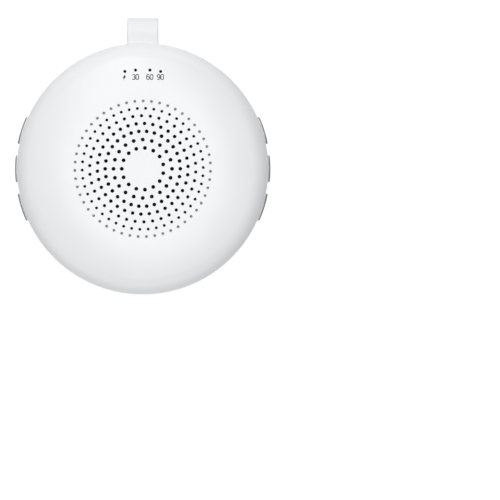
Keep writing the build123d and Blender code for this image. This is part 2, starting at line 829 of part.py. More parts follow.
usb_mouth = rim_radius - usb_recess
with BuildPart() as usb_socket:
    with BuildSketch(usb_plane.offset(usb_mouth)):
        SlotOverall(usb_width, usb_height)
    extrude(amount=-usb_length)
    with BuildSketch(usb_plane.offset(usb_mouth)):
        SlotOverall(usb_width - 2 * usb_shell, usb_height - 2 * usb_shell)
    extrude(amount=-usb_depth, mode=Mode.SUBTRACT)
    with BuildSketch(usb_plane.offset(usb_mouth - usb_depth)):
        Rectangle(usb_tongue_width, usb_tongue_thickness)
    extrude(amount=usb_tongue_length)
keep(usb_socket, "usb_socket")

# ---------------------------------------------------------------- battery
with BuildPart() as battery_tape:
    with BuildSketch(Plane.XY.offset(floor_z)):
        Rectangle(battery_length - 2 * tape_margin, battery_width - 2 * tape_margin)
    extrude(amount=tape_thickness)
keep(battery_tape, "battery_tape")

with BuildPart() as battery_pack:
    with BuildSketch(Plane.XY.offset(floor_z + tape_thickness)):
        RectangleRounded(battery_length, battery_width, battery_corner)
    extrude(amount=battery_thickness)
keep(battery_pack, "battery_pack")

# ---------------------------------------------------------------- leads and connectors
lead_plane = Plane.XZ.rotated((0, 0, speaker_lead_angle))  # its x runs outward to the speaker's connector
terminal_radius = (yoke_radius + ledge_outer_radius) / 2
speaker_plug = terminal_radius + connector_depth / 2 + speaker_lead_reach
battery_plug = -battery_length / 2 - battery_lead_reach
battery_lead_z = floor_z + tape_thickness + battery_thickness / 2
ribbon_top = indicator_board_top - indicator_board_thickness


def lead_pair(plane, corners):
    """Two thin wires side by side along a bent line drawn in a plane."""
    with BuildPart() as pair:
        for offset in (-lead_pitch / 2, lead_pitch / 2):
            with BuildLine(plane.offset(offset)) as run:
                FilletPolyline(*corners, radius=lead_bend)
            with BuildSketch(Plane(origin=run.line @ 0, z_dir=run.line % 0)):
                Circle(lead_radius)
            sweep(path=run.line)
    return pair


speaker_leads = lead_pair(
    lead_plane,
    [
        (terminal_radius + connector_depth / 2, yoke_top - terminal_height / 2),
        (speaker_plug, yoke_top - terminal_height / 2),
        (speaker_plug, board_top + connector_height),
    ],
)
keep(speaker_leads, "speaker_leads")

battery_leads = lead_pair(
    Plane.XZ,
    [
        (-battery_length / 2, battery_lead_z),
        (battery_plug, battery_lead_z),
        (battery_plug, board_foot - connector_height),
    ],
)
keep(battery_leads, "battery_leads")

with BuildPart() as connectors:
    # speaker's terminals, speaker plug, battery plug, and the flat cable's two sockets
    for plug_plane, plug_x, plug_base, plug_height in (
        (lead_plane, terminal_radius, yoke_top - terminal_height, terminal_height),
        (lead_plane, speaker_plug, board_top, connector_height),
        (Plane.XZ, battery_plug, board_foot - connector_height, connector_height),
        (Plane.YZ, pipe_plate_y, board_top, connector_height),
        (Plane.YZ, pipe_plate_y, ribbon_top - connector_height, connector_height),
    ):
        with BuildSketch(plug_plane):
            with Locations((plug_x, plug_base + plug_height / 2)):
                Rectangle(connector_depth, plug_height)
        extrude(amount=connector_width / 2, both=True)
keep(connectors, "connectors")

ribbon_foot = board_top + connector_height
ribbon_end = ribbon_top - connector_height
with BuildPart() as indicator_cable:
    with BuildSketch(Plane.YZ):
        with BuildLine():
            FilletPolyline(
                (pipe_plate_y, ribbon_foot),
                (pipe_plate_y, ribbon_foot + 2 * ribbon_bow),
                (pipe_plate_y + ribbon_bow, (ribbon_foot + ribbon_end) / 2),
                (pipe_plate_y, ribbon_end - 2 * ribbon_bow),
                (pipe_plate_y, ribbon_end),
                radius=2 * ribbon_bow,
            )
        trace(line_width=ribbon_thickness)
    extrude(amount=ribbon_width / 2, both=True)
keep(indicator_cable, "indicator_cable")
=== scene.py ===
import json
import math

import bmesh
import bpy
from mathutils import Matrix, Vector
from mathutils.geometry import delaunay_2d_cdt


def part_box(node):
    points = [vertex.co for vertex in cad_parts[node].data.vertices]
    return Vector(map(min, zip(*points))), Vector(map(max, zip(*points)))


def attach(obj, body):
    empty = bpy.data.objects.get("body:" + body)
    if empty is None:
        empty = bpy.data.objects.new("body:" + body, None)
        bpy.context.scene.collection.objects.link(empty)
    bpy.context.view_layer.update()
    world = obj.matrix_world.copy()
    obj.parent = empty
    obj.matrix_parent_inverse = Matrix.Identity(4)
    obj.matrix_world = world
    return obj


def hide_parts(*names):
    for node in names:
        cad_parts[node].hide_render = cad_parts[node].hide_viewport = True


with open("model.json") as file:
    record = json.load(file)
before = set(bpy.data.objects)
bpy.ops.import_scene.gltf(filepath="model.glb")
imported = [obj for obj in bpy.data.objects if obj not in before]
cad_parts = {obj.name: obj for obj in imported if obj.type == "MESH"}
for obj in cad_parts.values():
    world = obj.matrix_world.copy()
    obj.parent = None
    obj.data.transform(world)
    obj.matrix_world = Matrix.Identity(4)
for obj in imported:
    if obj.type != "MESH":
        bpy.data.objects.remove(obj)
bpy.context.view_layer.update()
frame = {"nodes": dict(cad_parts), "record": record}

# White noise sound machine: its looks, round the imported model. Metres, in the model's own frame:
# +Z comes out of the speaker face, +Y points to the hanger loop.
MM = 0.001

# ---------------------------------------------------------------- sizes read from the frame
FRONT_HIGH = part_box("front_shell")[1]
RIM_RADIUS = FRONT_HIGH.x
FACE_Z = FRONT_HIGH.z
CEILING_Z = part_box("dust_mesh")[1].z

# sizes of the housing's outline, as its solids have them
FIELD_RADIUS = 29.5 * MM
FACE_DROP = 2.4 * MM
SHOULDER_RADIUS = 7.7 * MM
BACK_CORNER_RADIUS = 12.0 * MM
BACK_Z = 1.0 * MM
COLLAR_INNER_RADIUS = 28.0 * MM

# speaker grille, in mm and degrees: ring radius, holes in the ring, angle of its first hole,
# hole radius
GRILLE_RINGS = (
    (8.49, 15, 12.0, 0.79),
    (11.84, 20, 0.0, 0.79),
    (15.23, 30, 0.0, 0.77),
    (18.38, 34, 3.0, 0.73),
    (21.51, 38, 6.0, 0.67),
    (24.54, 46, 1.2, 0.59),
)
DIMPLE_RING = (27.50, 51, 4.9, 0.58)
DIMPLE_DEPTH = 0.70 * MM
HOLE_SIDES = 24
HOLE_EDGE = 0.06 * MM

# printed marks under the indicator holes
PRINT_Y = 37.2 * MM
PRINT_HEIGHT = 2.05 * MM
PRINT_STROKE = 0.33 * MM
FIGURE_WIDTH = 1.1 * MM
FIGURE_PITCH = 1.45 * MM
PRINT_LIFT = 0.012 * MM
INK_THICKNESS = 0.02 * MM
PRINTED_NUMBERS = ((-2.95, "30"), (2.85, "60"), (7.15, "90"))  # centre along X in mm, figures
BOLT_X = -7.45 * MM
BOLT_Y = 37.15 * MM
# corners of one half of the flash, in mm from its middle, from the tip on; the other half is the
# same, turned by half a turn
BOLT_HALF = ((0.34, 1.20), (-0.70, -0.36), (-0.26, -0.36))

# centres of the outline's round parts, worked out from the sizes above
DOME_RADIUS = ((RIM_RADIUS - FIELD_RADIUS) ** 2 + FACE_DROP**2) / (2 * FACE_DROP)
DOME_Z = FACE_Z - DOME_RADIUS
SHOULDER_X = RIM_RADIUS - SHOULDER_RADIUS
CENTER_GAP = DOME_RADIUS - SHOULDER_RADIUS
CENTER_OUT = SHOULDER_X - FIELD_RADIUS
SHOULDER_Z = DOME_Z + math.sqrt(CENTER_GAP**2 - CENTER_OUT**2)
SHOULDER_START = SHOULDER_X + CENTER_OUT * SHOULDER_RADIUS / CENTER_GAP
BACK_CORNER_X = RIM_RADIUS - BACK_CORNER_RADIUS
BACK_CORNER_Z = BACK_Z + BACK_CORNER_RADIUS


def face_z(x, y):
    """Height of the face over a point."""
    out = max(math.hypot(x, y) - FIELD_RADIUS, 0)
    return DOME_Z + math.sqrt(DOME_RADIUS**2 - out**2)


# ---------------------------------------------------------------- materials
TONE_RANGE = (0.35, 0.65)  # values of a pattern between which its tone drifts
GRAIN = 0.12 * MM  # spark-eroded grain of moulded plastic
GRAIN_DEPTH = 0.004 * MM
# width over which the keys' painted edge shade fades in
EDGE_SHADE_BLEND = 0.03 * MM


def node_material(name, color, roughness, metallic=0.0):
    """New material with a Principled shader; returns it with its node tree and shader."""
    material = bpy.data.materials.new(name)
    material.use_nodes = True
    shader = material.node_tree.nodes["Principled BSDF"]
    shader.inputs["Base Color"].default_value = (*color, 1)
    shader.inputs["Roughness"].default_value = roughness
    shader.inputs["Metallic"].default_value = metallic
    return material, material.node_tree, shader


def object_coordinates(tree, stretch=(1, 1, 1)):
    """Object coordinates, stretched along the axes."""
    place = tree.nodes.new("ShaderNodeTexCoord")
    mapping = tree.nodes.new("ShaderNodeMapping")
    mapping.inputs["Scale"].default_value = stretch
    tree.links.new(place.outputs["Object"], mapping.inputs["Vector"])
    return mapping.outputs["Vector"]


def noise(tree, size, detail, stretch=(1, 1, 1)):
    """Noise whose grains are about size across."""
    texture = tree.nodes.new("ShaderNodeTexNoise")
    texture.inputs["Scale"].default_value = 1 / size
    texture.inputs["Detail"].default_value = detail
    tree.links.new(object_coordinates(tree, stretch), texture.inputs["Vector"])
    return texture.outputs["Fac"]


def math_node(tree, operation, first, second=None):
    """Result of a Math node; an input is a socket or a number."""
    node = tree.nodes.new("ShaderNodeMath")
    node.operation = operation
    for socket, value in zip(node.inputs, (first, second)):
        if isinstance(value, (int, float)):
            socket.default_value = value
        elif value:
            tree.links.new(value, socket)
    return node.outputs["Value"]


def map_range(tree, value, source, target):
    """A value carried from one range to another, and held at its ends."""
    node = tree.nodes.new("ShaderNodeMapRange")
    node.inputs["From Min"].default_value, node.inputs["From Max"].default_value = source
    node.inputs["To Min"].default_value, node.inputs["To Max"].default_value = target
    tree.links.new(value, node.inputs["Value"])
    return node.outputs["Result"]


def shade(color, factor):
    """A colour made darker or lighter."""
    return tuple(min(channel * factor, 1.0) for channel in color)


def bump(tree, shader, height, depth, strength=1.0):
    """Bump of the given depth from a height between 0 and 1, after any bump already there."""
    node = tree.nodes.new("ShaderNodeBump")
    node.inputs["Strength"].default_value = strength
    node.inputs["Distance"].default_value = depth
    before = shader.inputs["Normal"]
    if before.is_linked:
        tree.links.new(before.links[0].from_socket, node.inputs["Normal"])
    tree.links.new(height, node.inputs["Height"])
    tree.links.new(node.outputs["Normal"], before)


def vary_color(tree, shader, fac, dark, light):
    """Colour that drifts between two tones."""
    ramp = tree.nodes.new("ShaderNodeValToRGB")
    for element, position, tone in zip(ramp.color_ramp.elements, TONE_RANGE, (dark, light)):
        element.position = position
        element.color = (*tone, 1)
    tree.links.new(fac, ramp.inputs["Fac"])
    tree.links.new(ramp.outputs["Color"], shader.inputs["Base Color"])


def vary_roughness(tree, shader, fac, low, high):
    """Roughness that drifts between two values."""
    tree.links.new(map_range(tree, fac, (0, 1), (low, high)), shader.inputs["Roughness"])


def plastic(name, color, roughness, grain_depth=GRAIN_DEPTH):
    """Moulded plastic: spark-eroded grain, and tone and gloss that drift a little."""
    material, tree, shader = node_material(name, color, roughness)
    vary_color(tree, shader, noise(tree, 22 * MM, 1), shade(color, 0.985), color)
    vary_roughness(tree, shader, noise(tree, 6 * MM, 3), roughness - 0.03, roughness + 0.03)
    bump(tree, shader, noise(tree, GRAIN, 3), grain_depth)
    return material


def edge_shaded_plastic(name, color, edge_shade_color, edge_shade_start):
    """Key cap: a white body, and a grey, duller band beyond a distance from the axis, which is
    painted shade on the keys' outer faces.
    """
    material, tree, shader = node_material(name, color, 0.4)
    reach = tree.nodes.new("ShaderNodeVectorMath")
    reach.operation = "LENGTH"
    tree.links.new(object_coordinates(tree, (1, 1, 0)), reach.inputs[0])
    # grey from here outward is painted shade on the keys' outer faces
    edge_shade = map_range(tree, reach.outputs["Value"], (edge_shade_start, edge_shade_start + EDGE_SHADE_BLEND), (0, 1))
    vary_color(tree, shader, edge_shade, color, edge_shade_color)
    vary_roughness(tree, shader, edge_shade, 0.36, 0.6)
    bump(tree, shader, noise(tree, GRAIN, 3), GRAIN_DEPTH)
    return material


def rubber(name, color, roughness=0.62):
    """Moulded rubber: dull, with a soft sheen and a fine grain."""
    material, tree, shader = node_material(name, color, roughness)
    shader.inputs["Sheen Weight"].default_value = 0.15
    shader.inputs["Sheen Roughness"].default_value = 0.5
    vary_color(tree, shader, noise(tree, 5 * MM, 4), shade(color, 0.93), color)
    bump(tree, shader, noise(tree, 0.2 * MM, 4), 0.01 * MM)
    return material


def metal(name, color, roughness, streak=(1, 1, 14)):
    """Plated or pressed metal, with fine streaks from its making."""
    material, tree, shader = node_material(name, color, roughness, 1.0)
    vary_color(tree, shader, noise(tree, 3 * MM, 5), shade(color, 0.86), color)
    streaks = noise(tree, 1.2 * MM, 4, streak)
    vary_roughness(tree, shader, streaks, roughness - 0.08, roughness + 0.1)
    bump(tree, shader, noise(tree, 0.25 * MM, 3, streak), 0.003 * MM)
    return material


def cloth(name, color, thread=0.18 * MM):
    """Plain weave: two crossed sets of threads."""
    material, tree, shader = node_material(name, color, 0.85)
    heights = []
    for axis in ("X", "Y"):
        wave = tree.nodes.new("ShaderNodeTexWave")
        wave.bands_direction = axis
        wave.inputs["Scale"].default_value = math.tau / (20 * thread)
        tree.links.new(object_coordinates(tree), wave.inputs["Vector"])
        heights.append(wave.outputs["Fac"])
    crossing = math_node(tree, "MULTIPLY", *heights)
    vary_color(tree, shader, crossing, shade(color, 0.35), color)
    bump(tree, shader, crossing, 0.05 * MM)
    return material


def pulp(name, color):
    """Pressed paper fibres."""
    material, tree, shader = node_material(name, color, 0.9)
    fibres = noise(tree, 0.8 * MM, 6, (1, 1, 3))
    vary_color(tree, shader, fibres, shade(color, 0.7), shade(color, 1.3))
    bump(tree, shader, noise(tree, 0.35 * MM, 6), 0.04 * MM)
    return material


def board_lacquer(name, color):
    """Green solder mask over copper tracks that show as raised lines."""
    material, tree, shader = node_material(name, color, 0.32)
    shader.inputs["Coat Weight"].default_value = 0.4
    brick = tree.nodes.new("ShaderNodeTexBrick")
    brick.inputs["Scale"].default_value = 1 / (6 * MM)
    brick.inputs["Color1"].default_value = (*color, 1)
    brick.inputs["Color2"].default_value = (*shade(color, 0.85), 1)
    brick.inputs["Mortar"].default_value = (*shade(color, 1.7), 1)
    brick.inputs["Mortar Size"].default_value = 0.03
    tree.links.new(object_coordinates(tree), brick.inputs["Vector"])
    tree.links.new(brick.outputs["Color"], shader.inputs["Base Color"])
    bump(tree, shader, brick.outputs["Fac"], 0.03 * MM, 0.6)
    return material


def milky(name, color):
    """Opal plastic that light spreads through."""
    material, tree, shader = node_material(name, color, 0.34)
    shader.inputs["Subsurface Weight"].default_value = 0.6
    shader.inputs["Subsurface Radius"].default_value = (1.0, 0.95, 0.85)
    shader.inputs["Subsurface Scale"].default_value = 3 * MM
    vary_color(tree, shader, noise(tree, 14 * MM, 2), shade(color, 0.97), color)
    bump(tree, shader, noise(tree, 0.1 * MM, 2), 0.002 * MM)
    return material


def lacquered(name, color, roughness=0.12, gloss=0.5):
    """Cast resin or acrylic."""
    material, tree, shader = node_material(name, color, roughness)
    shader.inputs["Specular IOR Level"].default_value = gloss
    vary_color(tree, shader, noise(tree, 2 * MM, 2), shade(color, 0.9), color)
    bump(tree, shader, noise(tree, 0.5 * MM, 2), 0.002 * MM)
    return material


WHITE = (0.866, 0.870, 0.876)
# grey painted on the keys' outer faces beyond the rim: painted edge shade
EDGE_SHADE_GREY = (0.27, 0.274, 0.28)
EDGE_SHADE_START = RIM_RADIUS + 0.35 * MM
SLOT_MATERIALS = {
    "shell_plastic": plastic("satin_white_shell", WHITE, 0.30),
    "button_plastic": edge_shaded_plastic("white_keys_with_painted_edge_shade", WHITE, EDGE_SHADE_GREY, EDGE_SHADE_START),
    "loop_plastic": plastic("satin_white_loop", WHITE, 0.34, grain_depth=0.002 * MM),
    "diffuser": milky("milky_light_ring", (0.85, 0.845, 0.82)),
    "foot_rubber": rubber("grey_silicone", (0.52, 0.53, 0.54)),
    "mesh_cloth": cloth("black_acoustic_mesh", (0.012, 0.012, 0.013)),
    "foam": rubber("black_foam", (0.03, 0.03, 0.032), 0.9),
    "pressed_steel": metal("zinc_pressing", (0.55, 0.56, 0.57), 0.38),
    "screw_steel": metal("zinc_screws", (0.58, 0.58, 0.60), 0.3),
    "ferrite": metal("nickel_magnet", (0.60, 0.60, 0.61), 0.2),
    "cone_paper": pulp("black_cone_paper", (0.02, 0.02, 0.021)),
    "surround_rubber": rubber("black_surround", (0.018, 0.018, 0.018), 0.5),
    "coil_copper": metal("coil_copper", (0.70, 0.36, 0.20), 0.28, (1, 1, 30)),
    "spider_cloth": cloth("spider_cloth", (0.55, 0.33, 0.10), 0.4 * MM),
    "clamp_plastic": plastic("black_clamp", (0.02, 0.02, 0.022), 0.5),
    "circuit_board": board_lacquer("circuit_board", (0.01, 0.11, 0.04)),
    "chip_resin": plastic("chip_resin", (0.02, 0.02, 0.022), 0.55),
    "switch_plastic": plastic("black_nylon", (0.02, 0.02, 0.02), 0.45),
    "plunger_plastic": plastic("natural_nylon", (0.60, 0.57, 0.50), 0.4),
    "led_resin": lacquered("yellow_led_resin", (0.80, 0.70, 0.25)),
    "smoked_acrylic": lacquered("smoked_acrylic", (0.004, 0.004, 0.004), 0.5, 0.1),
    "socket_steel": metal("nickel_socket", (0.66, 0.66, 0.68), 0.22),
    "battery_wrap": metal("pouch_laminate", (0.62, 0.63, 0.65), 0.35, (1, 6, 1)),
    "tape_foam": rubber("white_tape", (0.70, 0.69, 0.65), 0.8),
    "wire_pvc": rubber("red_wire", (0.55, 0.02, 0.02), 0.4),
    "flat_cable": plastic("flat_cable", (0.75, 0.76, 0.78), 0.35),
    "connector_nylon": plastic("connector_nylon", (0.74, 0.72, 0.66), 0.4),
}


def dress_cad_nodes():
    """Every carried node gets its slot's material."""
    for part in frame["record"]["subparts"]:
        node = frame["nodes"][part["node"]]
        material = SLOT_MATERIALS[part["material_slot"]]
        if not node.material_slots:
            node.data.materials.append(material)
        for place in node.material_slots:
            place.material = material


# ---------------------------------------------------------------- mesh helpers
WELD_DISTANCE = 0.0005 * MM
SHARP_ANGLE = math.radians(30)
SAME_LEVEL = 0.01 * MM  # lengths that differ by less are taken as the same
BORDER_REACH = 0.05 * MM  # of a border's corners from their circle
TURNED_SEGMENTS = 120


def new_piece(name, mesh, material, body, slot=None, replaced=()):
    """Object from a mesh, riding on a body."""
    piece = bpy.data.objects.new(name, mesh)
    bpy.context.scene.collection.objects.link(piece)
    mesh.materials.append(material)
    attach(piece, body)
    if replaced:
        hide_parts(*replaced)


def piece_from(mesh, name, material, body="housing", **links):
    """Finish a working mesh as a piece, smooth but for its edges."""
    data = bpy.data.meshes.new(name)
    mesh.to_mesh(data)
    mesh.free()
    data.shade_smooth()
    data.set_sharp_from_angle(angle=SHARP_ANGLE)
    new_piece(name, data, material, body, **links)


def circle_points(radius, count, turn=0.0, center=(0.0, 0.0)):
    """Points round a circle, counter-clockwise."""
    return [
        (
            center[0] + radius * math.cos(turn + math.tau * i / count),
            center[1] + radius * math.sin(turn + math.tau * i / count),
        )
        for i in range(count)
    ]


def skin_between(mesh, ring_a, ring_b):
    """Quads between two rings of as many vertices."""
    count = len(ring_a)
    for i in range(count):
        j = (i + 1) % count
        mesh.faces.new((ring_a[i], ring_a[j], ring_b[j], ring_b[i]))


def ring_at(mesh, center, radius, z):
    """Ring of a hole's vertices."""
    return [mesh.verts.new((x, y, z)) for x, y in circle_points(radius, HOLE_SIDES, 0, center)]


def fill_with_holes(mesh, border, hole_rings, upward):
    """Flat triangles between a border loop and the rings of holes."""
    loops = [border, *hole_rings]
    points, edges, owner = [], [], []
    for number, loop in enumerate(loops):
        start = len(points)
        points += [Vector(v.co.xy) / MM for v in loop]
        owner += [(number, v) for v in loop]
        edges += [(start + i, start + (i + 1) % len(loop)) for i in range(len(loop))]
    # 0 asks for every triangle inside the outer border; the last number is the tolerance in mm
    triangles, origin = delaunay_2d_cdt(points, edges, [], 0, 1e-7)[2:4]
    for triangle in triangles:
        corners = [owner[origin[i][0]] for i in triangle]
        numbers = {number for number, _ in corners}
        if len(numbers) == 1 and numbers != {0}:
            continue  # inside one hole
        verts = [v for _, v in corners]
        a, b, c = (v.co for v in verts)
        if ((b - a).cross(c - a).z > 0) != upward:
            verts.reverse()
        mesh.faces.new(verts)


def turned_ring(profile):
    """Working mesh of a closed profile of radii and heights, turned round the machine's axis."""
    mesh = bmesh.new()
    rings = [
        [mesh.verts.new((x, y, z)) for x, y in circle_points(radius, TURNED_SEGMENTS)]
        for radius, z in profile
    ]
    for here, after in zip(rings, rings[1:] + rings[:1]):
        skin_between(mesh, here, after)
    bmesh.ops.recalc_face_normals(mesh, faces=mesh.faces)
    return mesh


def open_border(mesh, radius, z):
    """The open edge loop at a radius and height, as vertices in order of angle."""
    verts = {
        v
        for edge in mesh.edges
        if edge.is_boundary
        for v in edge.verts
        if abs(v.co.z - z) < SAME_LEVEL
        and abs(math.hypot(v.co.x, v.co.y) - radius) < BORDER_REACH
    }
    return sorted(verts, key=lambda v: math.atan2(v.co.y, v.co.x))


# ---------------------------------------------------------------- front shell
OUTLINE_REACH = 0.06 * MM  # corners nearer than this lie on the outline
OUTLINE_FACING = 0.8  # least cosine between a face and the outline that it lies on
HOLE_SHARP_ANGLE = math.radians(35)


def outline_normal(point):
    """Outward normal of the housing's outline near a point, and the point's distance from it."""
    radius = math.hypot(point.x, point.y)
    if point.z < BACK_CORNER_Z:
        center, size = (BACK_CORNER_X, BACK_CORNER_Z), BACK_CORNER_RADIUS
    elif point.z < SHOULDER_Z:
        # straight wall: a circle of 1 m round a point beside it gives the outward normal
        center, size = (radius - 1, point.z), RIM_RADIUS - radius + 1
    elif radius > SHOULDER_START:
        center, size = (SHOULDER_X, SHOULDER_Z), SHOULDER_RADIUS
    elif radius > FIELD_RADIUS:
        center, size = (FIELD_RADIUS, DOME_Z), DOME_RADIUS
    else:
        return Vector((0, 0, 1)), abs(point.z - FACE_Z)
    out, up = radius - center[0], point.z - center[1]
    length = math.hypot(out, up)
    normal = Vector((point.x / radius * out, point.y / radius * out, up)) / length
    return normal, abs(length - size)


def smooth_outline(mesh):
    """Smooth shading, with the true normals of the outline wherever a face lies on it."""
    normals = []
    for face in mesh.polygons:
        corners = [mesh.vertices[i].co for i in face.vertices]
        found = [outline_normal(corner) for corner in corners]
        on_outline = all(
            off < OUTLINE_REACH and normal.dot(face.normal) > OUTLINE_FACING
            for normal, off in found
        )
        normals += [normal if on_outline else Vector() for normal, _ in found]
    mesh.normals_split_custom_set(normals)


def punched_grille(mesh, through):
    """Walls of the through or the blind holes; returns their rims on the face and below it."""
    rims, feet = [], []
    turns = [math.radians(step) for step in (0, 30, 60, 90)]
    for ring_radius, count, start, hole_radius in GRILLE_RINGS if through else (DIMPLE_RING,):
        radius = hole_radius * MM
        profile = [
            (radius + HOLE_EDGE * (1 - math.sin(a)), HOLE_EDGE * (1 - math.cos(a))) for a in turns
        ]
        profile.append((radius, FACE_Z - CEILING_Z if through else DIMPLE_DEPTH))
        for center in circle_points(ring_radius * MM, count, math.radians(start)):
            levels = [ring_at(mesh, center, out, FACE_Z - down) for out, down in profile]
            for upper, lower in zip(levels, levels[1:]):
                skin_between(mesh, upper, lower)
            if through:
                feet.append(levels[-1])
            else:
                # the blind holes' floors take the second material: mid-grey painted shade
                mesh.faces.new(levels[-1]).material_index = 1
            rims.append(levels[0])
    return rims, feet


def make_front_shell():
    """The front shell with its grille field drawn anew: round holes with softened rims."""
    mesh = bmesh.new()
    mesh.from_mesh(frame["nodes"]["front_shell"].data)
    bmesh.ops.remove_doubles(mesh, verts=mesh.verts, dist=WELD_DISTANCE)
    reach = (DIMPLE_RING[0] + 2 * DIMPLE_RING[3]) * MM

    def in_field(face):
        spots = [(math.hypot(v.co.x, v.co.y), v.co.z) for v in face.verts]
        punched = all(r < reach and z > CEILING_Z - SAME_LEVEL for r, z in spots)
        flat = all(r < FIELD_RADIUS + SAME_LEVEL and z > FACE_Z - SAME_LEVEL for r, z in spots)
        return punched or flat

    bmesh.ops.delete(mesh, geom=[f for f in mesh.faces if in_field(f)], context="FACES")
    rims, feet = punched_grille(mesh, True)
    blind_rims, _ = punched_grille(mesh, False)
    fill_with_holes(mesh, open_border(mesh, FIELD_RADIUS, FACE_Z), rims + blind_rims, True)
    fill_with_holes(mesh, open_border(mesh, COLLAR_INNER_RADIUS, CEILING_Z), feet, False)
    for face in mesh.faces:
        face.smooth = True
    for edge in mesh.edges:
        edge.smooth = len(edge.link_faces) == 2 and edge.calc_face_angle(0) < HOLE_SHARP_ANGLE
    data = bpy.data.meshes.new("shell_front")
    mesh.to_mesh(data)
    mesh.free()
    smooth_outline(data)
    white = SLOT_MATERIALS["shell_plastic"]
    new_piece("shell_front", data, white, "housing", "shell_plastic", ["front_shell"])
    # mid-grey on the blind holes' floors is painted shade, darker than their depth alone shades
    # them
    data.materials.append(rubber("hole_floors_painted_shade", (0.33, 0.33, 0.335), 0.8))


# ---------------------------------------------------------------- printed marks
def arc(center, size, start, stop, steps=14):
    """Points along part of an ellipse, in degrees."""
    angles = [math.radians(start + (stop - start) * i / steps) for i in range(steps + 1)]
    return [(center[0] + size[0] * math.cos(a), center[1] + size[1] * math.sin(a)) for a in angles]


def figure_strokes(figure):
    """Centre lines of a figure in a box one wide and one high."""
    if figure == "0":
        top = arc((0.5, 0.72), (0.5, 0.28), 0, 180)
        foot = arc((0.5, 0.28), (0.5, 0.28), 180, 360)
        return [top + foot + top[:1]]
    if figure == "3":
        upper_bowl = arc((0.5, 0.76), (0.46, 0.24), 160, -90)
        lower_bowl = arc((0.5, 0.26), (0.5, 0.26), 90, -160)
        return [upper_bowl + lower_bowl[1:]]
    bowl = arc((0.5, 0.3), (0.5, 0.3), 0, 360, 24)
    tail = [(0.0, 0.3), (0.0, 0.68)] + arc((0.5, 0.7), (0.5, 0.3), 180, 35)
    if figure == "6":
        return [bowl, tail]
    return [[(1 - x, 1 - y) for x, y in line] for line in (bowl, tail)]


def add_stroke(mesh, line, width):
    """Flat band along a line, laid on the face."""
    previous = None
    for i, point in enumerate(line):
        before, after = line[max(i - 1, 0)], line[min(i + 1, len(line) - 1)]
        dx, dy = after[0] - before[0], after[1] - before[1]
        length = math.hypot(dx, dy)
        side = (-dy / length * width / 2, dx / length * width / 2)
        pair = []
        for sign in (1, -1):
            x, y = point[0] + sign * side[0], point[1] + sign * side[1]
            pair.append(mesh.verts.new((x, y, face_z(x, y) + PRINT_LIFT)))
        if previous:
            mesh.faces.new((previous[0], previous[1], pair[1], pair[0]))
        previous = pair


def make_print():
    """The timer figures and the charging mark, in grey ink on the face."""
    mesh = bmesh.new()
    for center_x, figures in PRINTED_NUMBERS:
        for number, figure in enumerate(figures):
            left = center_x * MM + (number - 0.5) * FIGURE_PITCH - FIGURE_WIDTH / 2
            for line in figure_strokes(figure):
                placed = [
                    (left + x * FIGURE_WIDTH, PRINT_Y + (y - 0.5) * PRINT_HEIGHT) for x, y in line
                ]
                add_stroke(mesh, placed, PRINT_STROKE)
    # charging mark: a small flash
    flash = [(sign * x * MM, sign * y * MM) for sign in (1, -1) for x, y in BOLT_HALF]
    corners = [(BOLT_X + x, BOLT_Y + y) for x, y in flash]
    mesh.faces.new([mesh.verts.new((x, y, face_z(x, y) + PRINT_LIFT)) for x, y in corners])
    bmesh.ops.recalc_face_normals(mesh, faces=mesh.faces)
    for face in mesh.faces:
        if face.normal.z < 0:
            face.normal_flip()
    bmesh.ops.solidify(mesh, geom=mesh.faces[:], thickness=INK_THICKNESS)
    ink, tree, shader = node_material("grey_ink", (0.018, 0.018, 0.02), 0.6)
    vary_color(tree, shader, noise(tree, 0.5 * MM, 3), (0.014, 0.014, 0.015), (0.024, 0.024, 0.026))
    piece_from(mesh, "timer_print", ink)


# ---------------------------------------------------------------- screw heads
RECESS_SPAN = 2.5 * MM
RECESS_WIDTH = 0.6 * MM
RECESS_DEPTH = 0.9 * MM
RECESS_TAPER = 0.6  # size of the recess's root
RECESS_FLARE = 1.05  # size of the cutter's mouth, just below the head
CUTTER_MARGIN = 0.1 * MM
SCREW_HEAD_RADIUS = 2.1 * MM
SCREW_CORNERS = ((1, 1), (-1, 1), (-1, -1), (1, -1))
SCREW_TURNS = (12, 64, 35, 81)  # degrees


def cross_ring(mesh, center, turn, scale, z):
    """Corners of a cross, as vertices."""
    span, width = RECESS_SPAN / 2 * scale, RECESS_WIDTH / 2 * scale
    quarter = ((span, -width), (span, width), (width, width))
    ring = []
    for arm in range(4):
        angle = math.radians(turn + 90 * arm)
        for x, y in quarter:
            out_x = x * math.cos(angle) - y * math.sin(angle)
            out_y = x * math.sin(angle) + y * math.cos(angle)
            ring.append(mesh.verts.new((center[0] + out_x, center[1] + out_y, z)))
    return ring


def helper_object(name, mesh):
    """Object from a working mesh, to be used in a boolean and removed."""
    data = bpy.data.meshes.new(name)
    mesh.to_mesh(data)
    mesh.free()
    helper = bpy.data.objects.new(name, data)
    bpy.context.scene.collection.objects.link(helper)
    return helper


def cross_cutter():
    """Tapered crosses that stand in the four screw heads."""
    low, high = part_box("shell_screws")
    reach = high.x - SCREW_HEAD_RADIUS
    mesh = bmesh.new()
    for turn, (x, y) in zip(SCREW_TURNS, SCREW_CORNERS):
        center = (x * reach, y * reach)
        mouth = cross_ring(mesh, center, turn, RECESS_FLARE, low.z - CUTTER_MARGIN)
        root = cross_ring(mesh, center, turn, RECESS_TAPER, low.z + RECESS_DEPTH)
        skin_between(mesh, mouth, root)
        mesh.faces.new(reversed(mouth))
        mesh.faces.new(root)
    bmesh.ops.triangulate(mesh, faces=mesh.faces)
    return helper_object("cross_cutter", mesh)


def screw_blank():
    """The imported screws, welded to closed meshes."""
    mesh = bmesh.new()
    mesh.from_mesh(frame["nodes"]["shell_screws"].data)
    bmesh.ops.remove_doubles(mesh, verts=mesh.verts, dist=WELD_DISTANCE)
    return helper_object("screw_blank", mesh)


